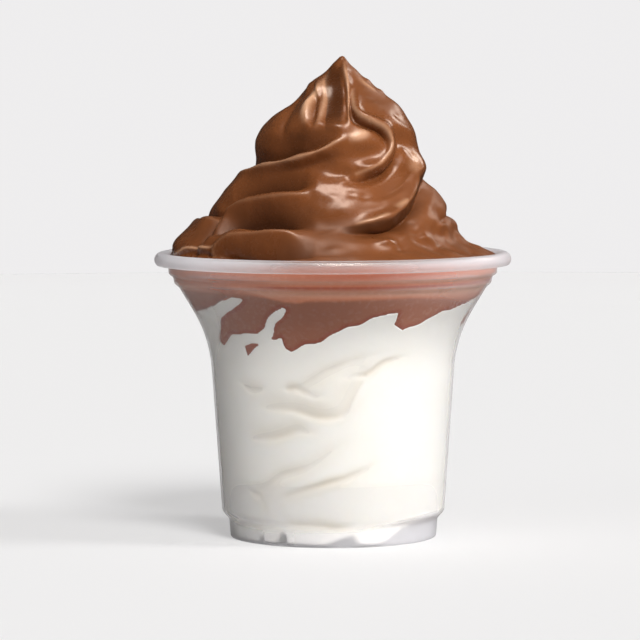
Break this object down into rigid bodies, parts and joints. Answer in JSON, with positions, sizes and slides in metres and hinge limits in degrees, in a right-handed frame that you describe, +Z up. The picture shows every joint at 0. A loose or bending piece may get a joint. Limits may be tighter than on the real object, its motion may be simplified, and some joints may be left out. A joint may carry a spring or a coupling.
{
  "type": "soft serve sundae in a clear cup",
  "caption": "Vanilla and chocolate soft serve sundae in a clear plastic cup, with a coiled chocolate swirl drawn up to a peak.",
  "frame": {"origin": "middle of the cup's base, on the plane that it stands on", "axes": "+Z up along the cup's axis, -Y towards the front"},
  "size_m": [0.095, 0.095, 0.128],
  "materials": {
    "clear_plastic": "clear, slightly milky and glossy thermoformed plastic",
    "vanilla": "soft satin, near white with faint cream folds",
    "chocolate": "wet gloss, milk chocolate brown"
  },
  "bodies": {
    "root": {"cup": "clear_plastic", "vanilla_ice_cream": "vanilla", "chocolate_ice_cream": "chocolate"}
  },
  "joints": []
}
